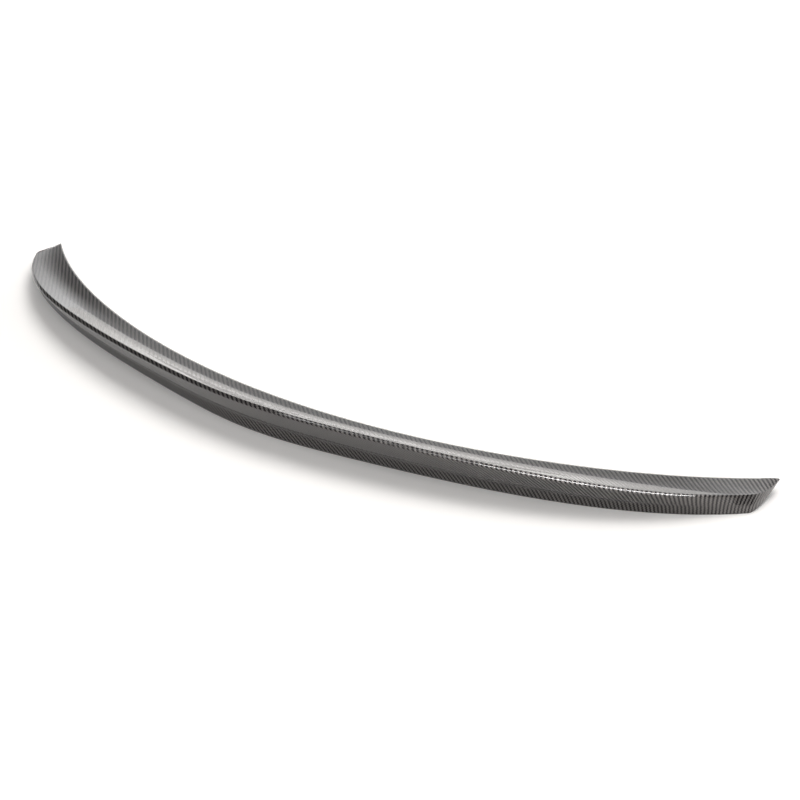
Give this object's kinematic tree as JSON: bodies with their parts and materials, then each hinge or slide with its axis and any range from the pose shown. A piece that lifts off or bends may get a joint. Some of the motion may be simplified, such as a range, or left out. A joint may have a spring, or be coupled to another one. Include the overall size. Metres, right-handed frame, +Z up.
{
  "type": "car rear spoiler",
  "caption": "Low boot-lid spoiler in gloss woven carbon fibre: a long bowed shell with a swept-up crest, an undercut rear face and a lower skirt, open underneath.",
  "frame": {"origin": "centre of the overall box, at the height of the skirt's lower edge", "axes": "+X along the span, +Y towards the front of the car, +Z up"},
  "size_m": [1.2, 0.2822, 0.059],
  "materials": {
    "carbon_laminate": "clear-coated twill-woven carbon fibre"
  },
  "bodies": {
    "root": {"spoiler_shell": "carbon_laminate"}
  },
  "joints": []
}
